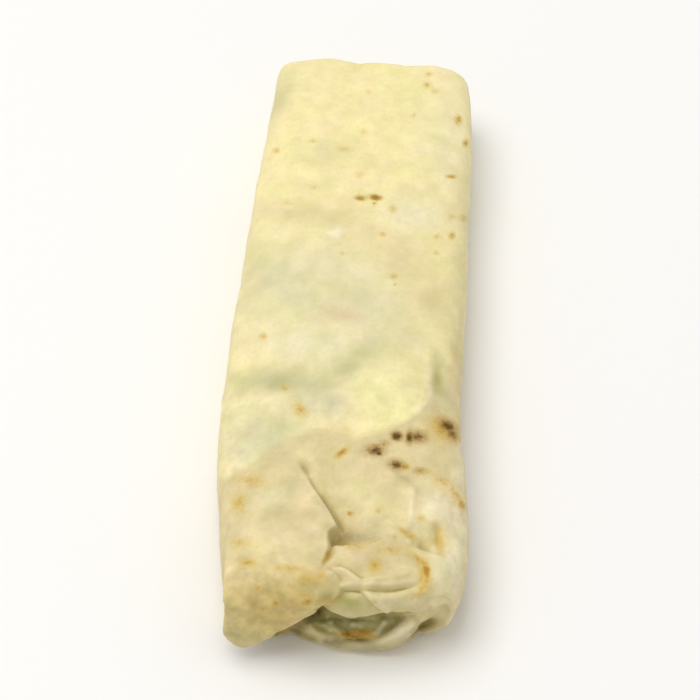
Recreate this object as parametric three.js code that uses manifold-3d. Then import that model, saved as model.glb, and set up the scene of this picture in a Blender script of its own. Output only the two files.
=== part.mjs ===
// A cheese roll: one sheet of thin soft flatbread, wrapped round a filling of cheese and herbs and folded
// shut at both ends. It lies seam down. The loosely folded end faces -Y, the neat end faces +Y and +Z is up.
// All sizes are millimetres.
import * as THREE from "three";
import { mergeVertices } from "three/addons/utils/BufferGeometryUtils.js";
import Module from "manifold-3d";

// Driving sizes of the wrapped body
const FRONT = 65.8; // from the middle of the roll to the loose end
const BACK = 73.3; // from the middle of the roll to the neat end
const SHEET = 1.4; // thickness of the flatbread
const LOOSE_END_ROUNDING = 20; // power of the curve that rounds the body into its loose end: more is boxier
const NEAT_END_ROUNDING = 30; // the same for the neat end
const SECTION_ROUNDING = 3.2; // power of the section's curve: 2 is an ellipse, more is boxier
const AROUND = 84; // points round a ring of the body
const FOLD_SPACING = 1.5; // between the rings that carry the loose folds
const SPACING = 3.0; // between the other rings
const FOLDS_FROM = -20; // the loose folds lie between this place and the loose end

// Half widths and height along the roll, as [y, value]
const LEFT = [[-68, 20.9], [-60, 22], [-46, 23.7], [-28, 25.2], [-8, 24.9], [20, 23.2], [50, 20.8], [74, 19]];
const RIGHT = [[-68, 21.9], [-58, 23.9], [-44, 24.2], [-30, 23.1], [-18, 21.9], [50, 21.8], [74, 20.2]];
const TOP = [[-66, 19.4], [-50, 20.0], [-20, 20.3], [10, 19.6], [40, 19.0], [74, 17.6]];

// Lines that the folds follow, seen from above, as [x, y]
const FLAP_EDGE = [[-27, -45], [-15, -33.5], [-6, -28], [1, -29.5], [8, -26], [13.5, -20.5], [14.5, -8]];
const OVERLAP = [[-9.4, -35.6], [-2.9, -47.2], [-0.9, -50.9], [-2.5, -53.4], [-3.1, -58.8], [-4.4, -63.5]];
const HOLLOW = [[-1, -53], [3, -53], [9, -52]];
const NEAR_RIDGE = [[-2, -56], [3, -56.5], [8, -55.5], [12, -57.5]];
const SIDE_DIMPLE = [[15.5, -5], [16.5, -13], [18, -21]];
const CORNER_RIDGE = [[10, -50], [14, -55], [16, -60], [14, -65]];

// The loose lip: the corner of the sheet that hangs down over the left of the loose end
const LIP = { left: -21.6, right: -2.5, tipX: -17.3, tipZ: 2.9, rootY: -53, tipY: -67.8 };
const LIP_COLUMNS = 17;
const LIP_ROWS = 13;

/** Eases from 0 at `low` to 1 at `high`. */
function ease(low, high, value) {
  const share = THREE.MathUtils.clamp((value - low) / (high - low), 0, 1);
  return share * share * (3 - 2 * share);
}

/** A bump of height 1 at 0 that falls away over `width` on both sides. */
function bump(distance, width) {
  return Math.exp(-((distance / width) ** 2));
}

/** Points spread along the smooth line through the given stations. */
function smoothLine(stations, count) {
  return new THREE.SplineCurve(stations.map((station) => new THREE.Vector2(...station))).getPoints(count);
}

/** A smooth function through stations of [place, value]. */
function through(stations) {
  const samples = smoothLine(stations, 150);
  return (place) => {
    const next = samples.findIndex((sample) => sample.x >= place);
    if (next === 0) return samples[0].y;
    if (next < 0) return samples.at(-1).y;
    const [before, after] = [samples[next - 1], samples[next]];
    return THREE.MathUtils.mapLinear(place, before.x, after.x, before.y, after.y);
  };
}

/** Tells how far a point lies from a line, as positive on its left, and its share of the way along it. */
function following(stations) {
  const samples = smoothLine(stations, 40);
  return (x, y) => {
    let nearest = { distance: Infinity, share: 0, side: 1 };
    for (let i = 1; i < samples.length; i += 1) {
      const start = samples[i - 1];
      const run = samples[i].clone().sub(start);
      const from = new THREE.Vector2(x, y).sub(start);
      const part = THREE.MathUtils.clamp(from.dot(run) / run.lengthSq(), 0, 1);
      const distance = from.clone().addScaledVector(run, -part).length();
      const share = (i - 1 + part) / (samples.length - 1);
      if (distance < nearest.distance) nearest = { distance, share, side: run.cross(from) < 0 ? -1 : 1 };
    }
    return { offset: nearest.distance * nearest.side, share: nearest.share };
  };
}

const left = through(LEFT);
const right = through(RIGHT);
const top = through(TOP);
const flapEdge = following(FLAP_EDGE);
const overlap = following(OVERLAP);
const hollow = following(HOLLOW);
const nearRidge = following(NEAR_RIDGE);
const sideDimple = following(SIDE_DIMPLE);
const cornerRidge = following(CORNER_RIDGE);

/** A bump that follows a line and fades out at both ends of it. */
function ridge(line, x, y, height, width) {
  const { offset, share } = line(x, y);
  return height * bump(offset, width) * ease(0, 0.15, share) * ease(1, 0.85, share);
}

/** A soft round lump. */
function lump(x, y, middleX, middleY, radiusX, radiusY) {
  return bump(x - middleX, radiusX) * bump(y - middleY, radiusY);
}

/** Relief of the top: the folded-over flap, the overlap across it and the lumps of the filling. */
function topRelief(x, y) {
  const flap = flapEdge(x, y);
  const lap = overlap(x, y);
  const flapRise = 0.9 * ease(0.7, -0.7, flap.offset) * ease(1, 0.8, flap.share);
  const lapCrest = 1.1 * ease(0.9, -0.9, lap.offset) * bump(Math.min(lap.offset + 0.9, 0), 7);
  const lapRise = lapCrest - 0.8 * bump(lap.offset - 1.6, 1.6);
  return (
    flapRise +
    lapRise * ease(0, 0.3, lap.share) * ease(1, 0.8, lap.share) +
    1.3 * lump(x, y, 4, -15, 9, 11) +
    0.6 * lump(x, y, -10, -3, 9, 12) +
    0.5 * lump(x, y, 3, 42, 14, 16) +
    0.7 * lump(x, y, 17, -45, 4, 5) +
    ridge(hollow, x, y, -1.8, 2.2) +
    ridge(nearRidge, x, y, 0.9, 1.8) +
    ridge(sideDimple, x, y, -1.3, 2.2) +
    ridge(cornerRidge, x, y, 0.8, 1.8)
  );
}

// Heights of two fold edges on the loose end, seen from the front, as [x, z], and how far the inner layers
// between them are set back, as [x, depth]
const upperFoldEdge = through([[-24, 12], [-6, 13.2], [0, 11], [3, 10.3], [9, 13], [12, 11.8], [24, 11]]);
const lowerFoldEdge = through([[-24, 6], [-8, 5.2], [3, 3.8], [8, 5], [11, 7.6], [14, 11], [24, 11.4]]);
const recessDepth = through([[-24, 4], [-8, 6], [-2, 6], [6, 5.2], [12, 3.2], [16, 0], [24, 0]]);

/** Relief of the loose end: an upper and a lower fold, with the inner layers sloping back between them. */
function looseEndRelief(x, z) {
  const [low, high] = [lowerFoldEdge(x), upperFoldEdge(x)];
  const upTheSlope = THREE.MathUtils.clamp((z - low) / (high - low), 0, 1);
  const between = ease(-0.7, 0.7, high - z) * ease(-0.7, 0.7, z - low);
  const recess = between * recessDepth(x) * (0.15 + 0.85 * upTheSlope ** 0.8);
  const lowerFold = 0.8 * ease(6, 1, z);
  const pocket = 1.8 * bump(x - 17.4, 2.6) * bump(z - 5.6, 2);
  const roundedCorners = 6 * ease(6, 24, x) ** 1.5 + 4.5 * ease(1, -16, x);
  return -recess - lowerFold - pocket - roundedCorners;
}

/** Relief of the neat end: the top layer comes down over two side folds that slant in under it. */
function neatEndRelief(x, z) {
  const topLayer = ease(-0.7, 0.7, z - 7.5 - 0.005 * x * x);
  const sideFold = ease(-0.7, 0.7, Math.abs(x - 1) - 4 - 0.9 * z);
  const wave = 0.95 * (1 - Math.cos((x + 8) / 3.3)) * ease(8, 16, z);
  return -(1.3 - 0.9 * sideFold) * (1 - topLayer) - wave;
}

/** Relief of the underside: the sheet ends in a seam along the roll, a little left of the middle. */
function seamRelief(x, y) {
  const fromSeam = x + 7 - 1.2 * Math.sin(y / 17);
  return fromSeam < 0 ? -SHEET * 0.6 * ease(-7, -0.2, fromSeam) : 0;
}

/** The body's rings from its loose end to its neat end, as [y, share of the full section]. */
function ringsAlong() {
  const middle = (BACK - FRONT) / 2;
  const halfLength = (BACK + FRONT) / 2;
  const halfHeight = 10;
  const steps = 8000;
  const rings = [];
  let previous = new THREE.Vector2(-FRONT, 0);
  let walked = 0;
  for (let step = 1; step < steps; step += 1) {
    const angle = (Math.PI * step) / steps;
    const [back, up] = [-Math.cos(angle), Math.sin(angle)];
    const power = back < 0 ? LOOSE_END_ROUNDING : NEAT_END_ROUNDING;
    const reach = (Math.abs(back) ** power + up ** power) ** (-1 / power);
    const point = new THREE.Vector2(middle + halfLength * back * reach, halfHeight * up * reach);
    walked += point.distanceTo(previous);
    previous = point;
    const folded = point.x < FOLDS_FROM || point.x > BACK - 1.2;
    if (walked >= (folded ? FOLD_SPACING : SPACING)) {
      rings.push([point.x, point.y / halfHeight]);
      walked = 0;
    }
  }
  return rings;
}

/** A point of the plain body. An angle of 0 is on its right-hand side and a quarter turn is on top.
 *  The section gets boxier towards the neat end, where the sheet is tucked in square. */
function bodyPoint(y, share, angle) {
  const boxiness = SECTION_ROUNDING + 2.6 * ease(35, 70, y);
  const rounded = (value) => Math.sign(value) * Math.abs(value) ** (2 / boxiness);
  const across = rounded(Math.cos(angle)) * share;
  const up = rounded(Math.sin(angle)) * share;
  const halfHeight = top(y) / 2;
  const halfWidth = across > 0 ? right(y) : left(y);
  return new THREE.Vector3(across * halfWidth, y, halfHeight * (1 + up * (up < 0 ? 1.05 : 1)));
}

/** Angles that put the points of a ring about evenly round it, mirrored over the ring's width. */
function evenAngles() {
  const steps = 720;
  const fine = Array.from({ length: steps + 1 }, (_, i) => bodyPoint(0, 1, (Math.PI * i) / steps));
  const walked = [0];
  for (let i = 1; i <= steps; i += 1) walked.push(walked[i - 1] + fine[i].distanceTo(fine[i - 1]));
  const upper = Array.from({ length: AROUND / 2 }, (_, k) => {
    const wanted = (walked[steps] * (k + 0.5)) / (AROUND / 2);
    return (Math.PI * walked.findIndex((length) => length >= wanted)) / steps;
  });
  return [...upper, ...upper.map((angle) => -angle).reverse()];
}

/** A closed surface over rows of points. Each row is a ring whose second half mirrors its first. */
function closedRows(rows) {
  const count = rows[0].length;
  const faces = [];
  for (let row = 1; row < rows.length; row += 1) {
    for (let k = 0; k < count; k += 1) {
      const [a, b] = [(row - 1) * count + k, (row - 1) * count + ((k + 1) % count)];
      faces.push(a, a + count, b + count, a, b + count, b);
    }
  }
  const last = (rows.length - 1) * count;
  for (let k = 0; k < count / 2 - 1; k += 1) {
    const [a, b, c, d] = [k, k + 1, count - 2 - k, count - 1 - k];
    faces.push(a, b, c, a, c, d, last + a, last + c, last + b, last + a, last + d, last + c);
  }
  return indexed(rows.flat().flatMap((point) => point.toArray()), faces);
}

function indexed(positions, faces) {
  const geometry = new THREE.BufferGeometry();
  geometry.setAttribute("position", new THREE.Float32BufferAttribute(positions, 3));
  geometry.setIndex(faces);
  return geometry;
}

/** Pushes the surface of the body out or in by the relief of the side that it faces. */
function addRelief(geometry) {
  geometry.computeVertexNormals();
  const { position, normal } = geometry.attributes;
  for (let i = 0; i < position.count; i += 1) {
    const point = new THREE.Vector3().fromBufferAttribute(position, i);
    const facing = new THREE.Vector3().fromBufferAttribute(normal, i);
    const upward = ease(0.3, 0.8, facing.z) * topRelief(point.x, point.y);
    const downward = ease(0.6, 0.9, -facing.z) * seamRelief(point.x, point.y);
    const forward = ease(0.35, 0.85, -facing.y) * looseEndRelief(point.x, point.z);
    const backward = ease(0.35, 0.85, facing.y) * neatEndRelief(point.x, point.z);
    point.addScaledVector(facing, upward + downward);
    point.y += backward - forward;
    position.setXYZ(i, point.x, point.y, point.z);
  }
  geometry.deleteAttribute("normal");
}

function wrappedBody() {
  const angles = evenAngles();
  const rows = ringsAlong().map(([y, share]) => angles.map((angle) => bodyPoint(y, share, angle)));
  const body = closedRows(rows);
  addRelief(body);
  return body;
}

/** Height of the plain body's upper surface over a place on its left half. */
function bodyTop(x, y) {
  const across = Math.min(Math.abs(x) / left(y), 1);
  return (top(y) / 2) * (1 + (1 - across ** SECTION_ROUNDING) ** (1 / SECTION_ROUNDING));
}

/** Height of the lip's free edge: a rounded tip on the left that rises to the right in a straight slant. */
function lipEdgeHeight(x) {
  const fromTip = x - LIP.tipX;
  return LIP.tipZ + (fromTip > 0 ? 1.15 : 1.5) * (Math.hypot(fromTip, 3) - 3);
}

/** A section of the lip's middle surface, from its hidden root to its free edge. */
function lipSection(x) {
  const edgeZ = lipEdgeHeight(x);
  const edgeY = LIP.tipY + 0.13 * (edgeZ - LIP.tipZ);
  const buried = bodyTop(x, LIP.rootY) - SHEET;
  return new THREE.CubicBezierCurve(
    new THREE.Vector2(LIP.rootY, buried),
    new THREE.Vector2(LIP.rootY - 9.5, buried + 2.4),
    new THREE.Vector2(edgeY - 0.6, Math.max(buried + 2.0, edgeZ)),
    new THREE.Vector2(edgeY, edgeZ),
  );
}

/** A closed slab of flatbread whose middle surface is given as rows of points. */
function slab(rows) {
  const at = (row, column) => rows[THREE.MathUtils.clamp(row, 0, rows.length - 1)].at(column);
  return closedRows(
    rows.map((points, row) => {
      const outward = points.map((_, column) => {
        const rightward = at(row, Math.min(column + 1, points.length - 1)).clone();
        rightward.sub(at(row, Math.max(column - 1, 0)));
        return at(row + 1, column).clone().sub(at(row - 1, column)).cross(rightward).setLength(SHEET / 2);
      });
      const outer = points.map((point, column) => point.clone().add(outward[column]));
      const inner = points.map((point, column) => point.clone().sub(outward[column]));
      return [...outer, ...inner.reverse()];
    }),
  );
}

function looseLip() {
  const sections = Array.from({ length: LIP_COLUMNS }, (_, column) => {
    const x = THREE.MathUtils.lerp(LIP.left, LIP.right, column / (LIP_COLUMNS - 1));
    return lipSection(x).getPoints(LIP_ROWS - 1).map((point) => new THREE.Vector3(x, point.x, point.y));
  });
  return slab(Array.from({ length: LIP_ROWS }, (_, row) => sections.map((section) => section[row])));
}

const wasm = await Module();
wasm.setup();

/** A closed surface as a solid that can be joined and cut. */
function solid(geometry) {
  const { attributes, index } = mergeVertices(geometry, 1e-4);
  const vertProperties = attributes.position.array;
  const triVerts = new Uint32Array(index.array);
  return new wasm.Manifold(new wasm.Mesh({ numProp: 3, vertProperties, triVerts }));
}

/** Joins the body and its lip, presses the underside flat and puts the roll over its origin. */
function cheeseRollGeometry() {
  const joined = solid(wrappedBody()).add(solid(looseLip())).trimByPlane([0, 0, 1], 0);
  const { vertProperties, triVerts } = joined.simplify(0.01).getMesh();
  const geometry = indexed([...vertProperties], [...triVerts]);
  geometry.computeBoundingBox();
  const { min, max } = geometry.boundingBox;
  geometry.translate(-(min.x + max.x) / 2, -(min.y + max.y) / 2, -min.z);
  geometry.computeVertexNormals();
  return geometry;
}

const flatbread = new THREE.MeshStandardMaterial({ color: 0xefe2b0, roughness: 0.7, metalness: 0 });
const cheeseRoll = new THREE.Mesh(cheeseRollGeometry(), flatbread);
cheeseRoll.name = "cheese_roll";

const part = new THREE.Group();
part.add(cheeseRoll);

export default part;
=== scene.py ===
# %% [markdown]
# A cheese roll: one sheet of thin soft flatbread, wrapped round cheese and herbs. The neat end is tucked
# shut, and the near end is closed loosely, with a corner of the sheet hanging down over it like a lip. The
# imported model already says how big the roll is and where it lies. This lesson dresses it: one finely
# modelled piece of dough takes the place of the plain solid, and gets the colour of pale, lightly toasted
# bread.

import bmesh
import bpy
import numpy as np
from mathutils import Matrix, Vector, noise


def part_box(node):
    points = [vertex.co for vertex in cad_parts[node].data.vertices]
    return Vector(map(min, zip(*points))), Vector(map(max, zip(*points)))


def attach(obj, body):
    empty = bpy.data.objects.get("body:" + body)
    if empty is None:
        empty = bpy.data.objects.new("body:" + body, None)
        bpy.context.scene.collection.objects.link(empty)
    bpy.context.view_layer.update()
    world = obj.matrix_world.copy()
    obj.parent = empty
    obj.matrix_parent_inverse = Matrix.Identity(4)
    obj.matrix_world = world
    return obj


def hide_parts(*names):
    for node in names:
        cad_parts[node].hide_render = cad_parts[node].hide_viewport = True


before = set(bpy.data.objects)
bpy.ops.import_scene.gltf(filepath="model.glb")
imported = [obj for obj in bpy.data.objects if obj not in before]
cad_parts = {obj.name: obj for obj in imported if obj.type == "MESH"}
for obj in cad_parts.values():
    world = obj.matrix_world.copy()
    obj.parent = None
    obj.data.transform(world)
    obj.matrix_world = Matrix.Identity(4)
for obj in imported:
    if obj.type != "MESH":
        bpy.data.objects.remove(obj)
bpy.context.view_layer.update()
MM = 0.001  # the shapes below are worked out in millimetres, as a baker would measure them

roll_low, roll_high = [Vector(corner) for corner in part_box("cheese_roll")]

def add_object(name, data):
    """Puts a new object into the scene."""
    made = bpy.data.objects.new(name, data)
    bpy.context.scene.collection.objects.link(made)
    return made


print("the solid is", [round(size / MM, 1) for size in roll_high - roll_low], "mm")

# %% [markdown]
# The camera looks down on the roll from the loose end, steeply enough to show the top and the folds of that
# end at once. It stands a metre away, where a long lens keeps the sides of the roll nearly parallel. The
# place comes from the ellipse that a round plate makes in the picture: its flatness gives the height of the
# view. The camera could be turned by hand until the picture looks right, but aiming it by a direction and
# one small roll about its own axis keeps every number readable.

# %% Set up the camera
CAMERA_AT = Vector((-13.1, -625.6, 773.3)) * MM
AIM_AT = Vector((-0.2, -0.7, 9.0)) * MM
CAMERA_ROLL = 5.0  # degrees, so that the roll leans a little to the right
LENS = 256.0  # millimetres, on a sensor 36 mm wide

camera = add_object("camera", bpy.data.cameras.new("camera"))
camera.data.lens = LENS
camera.data.sensor_width = 36.0
camera.data.clip_start = 0.05
camera.data.clip_end = 20.0
aimed = (AIM_AT - CAMERA_AT).to_track_quat("-Z", "Y").to_matrix().to_4x4()
rolled = Matrix.Rotation(np.radians(CAMERA_ROLL), 4, "Z")
camera.matrix_world = Matrix.Translation(CAMERA_AT) @ aimed @ rolled
bpy.context.scene.camera = camera
print("the camera stands", round((AIM_AT - CAMERA_AT).length, 3), "m away")

# %% [markdown]
# The picture is bright and almost without shadows, as in a kitchen with big windows. Two kinds of light do
# that: the world shines softly from all round, and one large panel behind and above the roll gives the slow
# shading that makes the folds readable and leaves the near end a little darker. A small lamp would be
# simpler, but its hard shadows would look like noon sun. The floor is pale, like a plate, and isn't part of
# the object.

# %% Light the stage
WORLD_STRENGTH = 0.61
PANEL_SIZE = 1.0
PANEL_POWER = 11.8
PANEL_AT = Vector((-0.42, 0.12, 1.40))

world = bpy.data.worlds.new("soft room light")
bpy.context.scene.world = world
world.use_nodes = True
world.node_tree.nodes["Background"].inputs["Color"].default_value = (1.0, 0.99, 0.97, 1.0)
world.node_tree.nodes["Background"].inputs["Strength"].default_value = WORLD_STRENGTH

panel = add_object("window panel", bpy.data.lights.new("window panel", "AREA"))
panel.data.size = PANEL_SIZE
panel.data.energy = PANEL_POWER
panel.location = PANEL_AT
panel.rotation_euler = (-PANEL_AT).to_track_quat("-Z", "Y").to_euler()
bpy.context.scene.view_settings.view_transform = "Standard"

floor_mesh = bpy.data.meshes.new("floor")
REACH = 3.0
corners = [(-REACH, -REACH, 0), (REACH, -REACH, 0), (REACH, REACH, 0), (-REACH, REACH, 0)]
floor_mesh.from_pydata(corners, [], [(0, 1, 2, 3)])
floor = add_object("floor", floor_mesh)
glaze = bpy.data.materials.new("pale glaze")
glaze.use_nodes = True
glaze_shader = glaze.node_tree.nodes["Principled BSDF"]
glaze_shader.inputs["Base Color"].default_value = (0.92, 0.91, 0.895, 1.0)
glaze_shader.inputs["Roughness"].default_value = 0.6
floor_mesh.materials.append(glaze)
print("one panel of", PANEL_POWER, "W over a pale floor")

# %% [markdown]
# All the shaping below uses a few small curves: an easing from one value to another, a bump, a line that
# fades at its ends, and a smooth line through a few stations. NumPy lets each of them work on all the
# points of the dough at once.

# %% Curves to shape with
def ease(low, high, value):
    """Goes smoothly from 0 at `low` to 1 at `high`."""
    share = np.clip((value - low) / (high - low), 0.0, 1.0)
    return share * share * (3.0 - 2.0 * share)


def bump(distance, width):
    """Is 1 at 0 and falls away over `width` on both sides."""
    return np.exp(-((distance / width) ** 2))


def smooth_line(stations, steps=12):
    """Points along a smooth line through the stations."""
    knots = np.array(stations, dtype=float)
    padded = np.vstack([knots[:1], knots, knots[-1:]])
    share = np.linspace(0.0, 1.0, steps, endpoint=False)[:, None]
    pieces = []
    for before, start, end, after in zip(padded, padded[1:], padded[2:], padded[3:]):
        leave, arrive = (end - before) / 2, (after - start) / 2
        cubic = 2 * start - 2 * end + leave + arrive
        square = -3 * start + 3 * end - 2 * leave - arrive
        pieces.append(((cubic * share + square) * share + leave) * share + start)
    return np.vstack([*pieces, knots[-1:]])


def fading(share, fade):
    """Fades in over the first part of a line and out over its last part."""
    return ease(0, fade[0], share) * ease(1, 1 - fade[1], share)


def through(stations):
    """A smooth function through stations of (place, value)."""
    line = smooth_line(stations, 24)
    return lambda place: np.interp(place, line[:, 0], line[:, 1])


# %% [markdown]
# The body of the roll is a long soft pillow: nearly a box with well rounded edges, widest at a third of its
# length from the loose end. It could be a subdivided cube, but a row of rings is easier to steer, because
# each ring takes its widths and its height from a few stations along the roll. A power curve rounds the
# sections and the ends: with a power of 2 it is an ellipse, and the higher the power, the boxier. Towards
# the neat end the power grows, because the sheet is tucked in square there.

# %% The roll's plan and section
FRONT = 65.8
BACK = 73.3
SHEET = 1.4  # thickness of the flatbread
LOOSE_END_ROUNDING, NEAT_END_ROUNDING = 20.0, 30.0
SECTION_ROUNDING, TUCKED_ROUNDING = 3.2, 5.8
HALF_WIDTH, HALF_HEIGHT = 22.0, 10.0  # about the middle ones, for an even spacing
RING_SPACING = 0.55

half_left = through(
    [(-68, 20.8), (-60, 21.9), (-46, 23.6), (-28, 25.1), (-8, 24.8), (20, 23.1), (50, 20.7), (74, 18.9)]
)
half_right = through(
    [(-68, 21.9), (-58, 23.8), (-44, 24.1), (-30, 23.0), (-18, 21.9), (50, 21.7), (74, 20.1)]
)
height = through([(-66, 19.4), (-50, 20.0), (-20, 20.3), (10, 19.6), (40, 19.0), (74, 17.6)])


def power_curve(angle, power):
    """A point on a rounded box of half size 1, seen from the middle in the direction of `angle`."""
    across, up = np.cos(angle), np.sin(angle)
    reach = (np.abs(across) ** power + np.abs(up) ** power) ** (-1.0 / power)
    return across * reach, up * reach


def even_angles(power, wide, tall, span, spacing):
    """Angles that put points on a rounded box about evenly, `spacing` apart."""
    fine = np.linspace(0.0, span, 40001)
    across, up = power_curve(fine, power)
    walked = np.concatenate([[0.0], np.cumsum(np.hypot(np.diff(across * wide), np.diff(up * tall)))])
    count = int(walked[-1] / spacing)
    return np.interp((np.arange(count) + 0.5) * walked[-1] / count, walked, fine)


def body_rings(spacing):
    """The plain body as an array of rings by points by (x, y, z), from the loose end to the neat one."""
    half_length = (FRONT + BACK) / 2
    angles = even_angles(LOOSE_END_ROUNDING, half_length, HALF_HEIGHT, np.pi, spacing)
    along, share = power_curve(angles, np.where(angles < np.pi / 2, LOOSE_END_ROUNDING, NEAT_END_ROUNDING))
    y = ((BACK - FRONT) / 2 - along * half_length)[:, None]
    boxiness = SECTION_ROUNDING + (TUCKED_ROUNDING - SECTION_ROUNDING) * ease(35.0, 70.0, y)
    around = even_angles(SECTION_ROUNDING, HALF_WIDTH, HALF_HEIGHT, 2 * np.pi, spacing)[None, :]
    across, up = [part * share[:, None] for part in power_curve(around, boxiness)]
    x = across * np.where(across > 0, half_right(y), half_left(y))
    z = height(y) / 2 * (1.0 + up * np.where(up < 0, 1.05, 1.0))
    return np.stack([x, np.broadcast_to(y, x.shape), z], axis=-1)


plain = body_rings(RING_SPACING)
print("the plain body has", plain.shape[0], "rings of", plain.shape[1], "points")

# %% [markdown]
# At the loose end the sheet comes over from above and from below, and the two folds don't quite meet, so
# the inner layers show between them. Those could be loose leaves of dough, but a recess that slopes back
# and gets its layers drawn on later looks the same and stays one solid piece. Its upper edge is the free
# edge of the top layer, and its lower edge turns up at the right like a smile. Both lower corners are set
# back, because the sheet is drawn together there.

# %% Shape the two ends and the seam
RIGHT_CORNER_BACK, LEFT_CORNER_BACK = 6.0, 4.5  # of the loose end
UNDERCUT = 0.8  # below the folds the loose end goes in a little, except at its middle
SIDE_FOLD_BACK, SIDE_FOLD_THICK = 1.3, 0.9  # of the neat end
WAVE = 0.95  # half of how far the neat end's top edge goes in and out

recess_depth = through([(-24, 4.0), (-8, 6.0), (-2, 6.0), (6, 5.2), (12, 3.2), (16, 0.0), (24, 0.0)])
upper_fold_edge = through([(-24, 12), (-6, 13.2), (0, 11), (3, 10.3), (9, 13), (12, 11.8), (24, 11)])
lower_fold_edge = through([(-24, 6), (-8, 5.2), (3, 3.8), (8, 5), (11, 7.6), (14, 11), (24, 11.4)])


def between_folds(x, z):
    """Is 1 where the inner layers show, between the upper and the lower fold of the loose end."""
    return ease(-0.5, 0.5, upper_fold_edge(x) - z) * ease(-0.5, 0.5, z - lower_fold_edge(x))


def loose_end(x, z):
    """How far the loose end is pushed in, in millimetres, over its width and height."""
    up_the_slope = np.clip((z - lower_fold_edge(x)) / (upper_fold_edge(x) - lower_fold_edge(x)), 0.0, 1.0)
    recess = between_folds(x, z) * recess_depth(x) * (0.15 + 0.85 * up_the_slope**0.8)
    corners = RIGHT_CORNER_BACK * ease(6, 24, x) ** 1.5 + LEFT_CORNER_BACK * ease(1, -16, x)
    return recess + UNDERCUT * ease(6, 1, z) * (1.0 - bump(x - 6.0, 7.0)) + corners


def neat_end(x, z):
    """How far the neat end is set back: the top layer comes down over two slanting side folds."""
    top_layer = ease(-0.6, 0.6, z - 7.5 - 0.005 * x * x)
    side_fold = ease(-0.6, 0.6, np.abs(x - 1) - 4 - 0.9 * z)
    wave = WAVE * (1 - np.cos((x + 8) / 3.3)) * ease(8, 16, z)
    return (SIDE_FOLD_BACK - SIDE_FOLD_THICK * side_fold) * (1 - top_layer) + wave


def seam(x, y):
    """The edge of the sheet under the roll: a step that runs along it, left of the middle."""
    beside = x + 7.0 - 1.2 * np.sin(y / 17.0)
    return np.where(beside < 0, 0.6 * SHEET * ease(-7.0, -0.2, beside), 0.0)


def facing_of(rings):
    """The outward direction of each point of a grid of rings."""
    around = np.roll(rings, -1, axis=1) - np.roll(rings, 1, axis=1)
    direction = np.cross(np.gradient(rings, axis=0), around)
    return direction / np.linalg.norm(direction, axis=-1, keepdims=True)


facing = facing_of(plain)
body = plain.copy()
body[..., 1] += ease(0.35, 0.85, -facing[..., 1]) * loose_end(plain[..., 0], plain[..., 2])
body[..., 1] -= ease(0.35, 0.85, facing[..., 1]) * neat_end(plain[..., 0], plain[..., 2])
body[..., 2] += ease(0.6, 0.9, -facing[..., 2]) * seam(plain[..., 0], plain[..., 1])
print("the recess is up to", np.round(recess_depth(-5.0), 1), "mm deep")

# %% [markdown]
# The lip is real sheet: a slab as thick as the flatbread, which grows out of the top, bends over the edge
# and hangs free to a rounded tip near the board. A cubic curve from the buried root to the free edge gives
# each section, and the height of the free edge over the width gives the lip its slanting outline.

# %% Make the hanging lip
LIP_LEFT, LIP_RIGHT = -21.6, -2.5
TIP_X, TIP_Z = -17.3, 2.7
ROOT_Y, TIP_Y = -53.0, -67.8
RISE_LEFT, RISE_RIGHT = 1.5, 1.07  # how steeply the free edge goes up on both sides of the tip
ACROSS_LIP, DOWN_LIP = 44, 48


def body_top(x, y):
    """Height of the plain body's upper side at a place on its left half."""
    across = np.minimum(np.abs(x) / half_left(y), 1.0)
    return height(y) / 2 * (1.0 + (1.0 - across**SECTION_ROUNDING) ** (1.0 / SECTION_ROUNDING))


def lip_middle():
    """The lip's middle surface: rows from the root to the free edge, by columns from left to right."""
    x = np.linspace(LIP_LEFT, LIP_RIGHT, ACROSS_LIP)[None, :]
    down = np.linspace(0.0, 1.0, DOWN_LIP)[:, None]
    from_tip = x - TIP_X
    edge_z = TIP_Z + np.where(from_tip > 0, RISE_RIGHT, RISE_LEFT) * (np.hypot(from_tip, 3.0) - 3.0)
    edge_y = TIP_Y + 0.13 * (edge_z - TIP_Z) + 0.25 * np.sin(x / 2.7)
    buried = body_top(x, ROOT_Y) - SHEET
    knots_y = (ROOT_Y + 0 * x, ROOT_Y - 9.5 + 0 * x, edge_y - 0.6, edge_y)
    knots_z = (buried, buried + 2.4, np.maximum(buried + 2.0, edge_z), edge_z)
    weights = ((1 - down) ** 3, 3 * down * (1 - down) ** 2, 3 * down**2 * (1 - down), down**3)
    y = sum(weight * knot for weight, knot in zip(weights, knots_y))
    z = sum(weight * knot for weight, knot in zip(weights, knots_z))
    return np.stack([np.broadcast_to(x, y.shape), y, z], axis=-1)


def slab_rings(middle):
    """A sheet round a middle surface, as rows that go over its outer side and back under its inner side."""
    outward = np.cross(np.gradient(middle, axis=0), np.gradient(middle, axis=1))
    outward *= SHEET / 2 / np.linalg.norm(outward, axis=-1, keepdims=True)
    return np.concatenate([middle + outward, (middle - outward)[:, ::-1]], axis=1)


lip = slab_rings(lip_middle())
print("the lip hangs down to", np.round(lip[..., 2].min(), 1), "mm over the board")

# %% [markdown]
# Body and lip become one skin. A boolean union would leave a hard line where the lip grows out of the body.
# A voxel remesh melts them together as dough does, and gives even faces everywhere. The folds of the loose
# end and of the neat end need finer faces than the rest, so the faces there are cut in four afterwards.
# Moving each point towards its neighbours takes out the voxel grid. Many rounds of the same make the
# right-hand corner full and round, and blend the lip's right side into the near panel. Last, the lower
# layer of that corner moves in and back, because it stands back under the upper one.

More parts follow.
